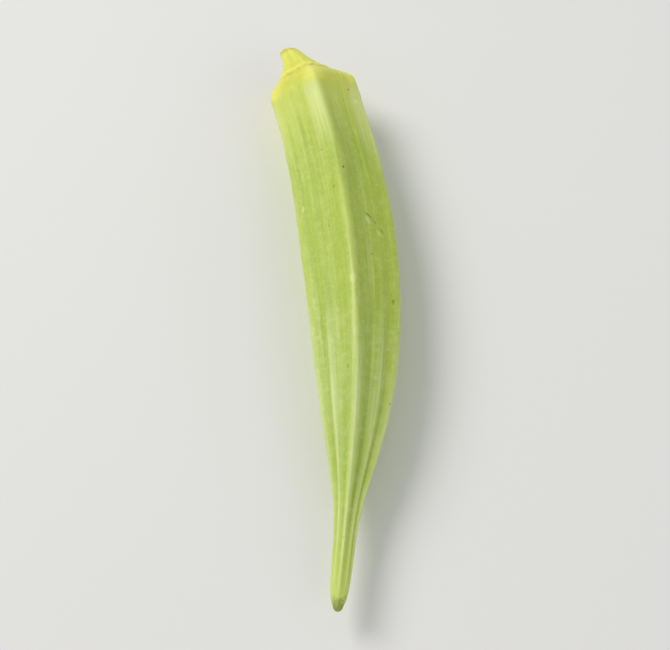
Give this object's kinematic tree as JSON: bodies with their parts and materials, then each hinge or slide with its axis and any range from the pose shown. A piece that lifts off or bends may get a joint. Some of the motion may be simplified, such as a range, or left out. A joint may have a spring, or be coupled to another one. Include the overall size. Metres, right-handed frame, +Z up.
{
  "type": "okra pod",
  "caption": "Fresh green okra pod with five ribs, a yellow cap and cut stalk, a long curved body and a tapering beak, lying on one face.",
  "frame": {"origin": "centre of the bounding box's base, on the surface that the pod lies on", "axes": "+Z up, the beak points to -Y and the cut stalk to +Y, one ridge is uppermost, and +X is the outer side of the bend"},
  "size_m": [0.034, 0.1356, 0.0199],
  "materials": {
    "pod_skin": "satin, finely downy green skin with paler ribs, turning yellow at the cap and the stalk"
  },
  "bodies": {
    "root": {"okra_pod": "pod_skin"}
  },
  "joints": []
}
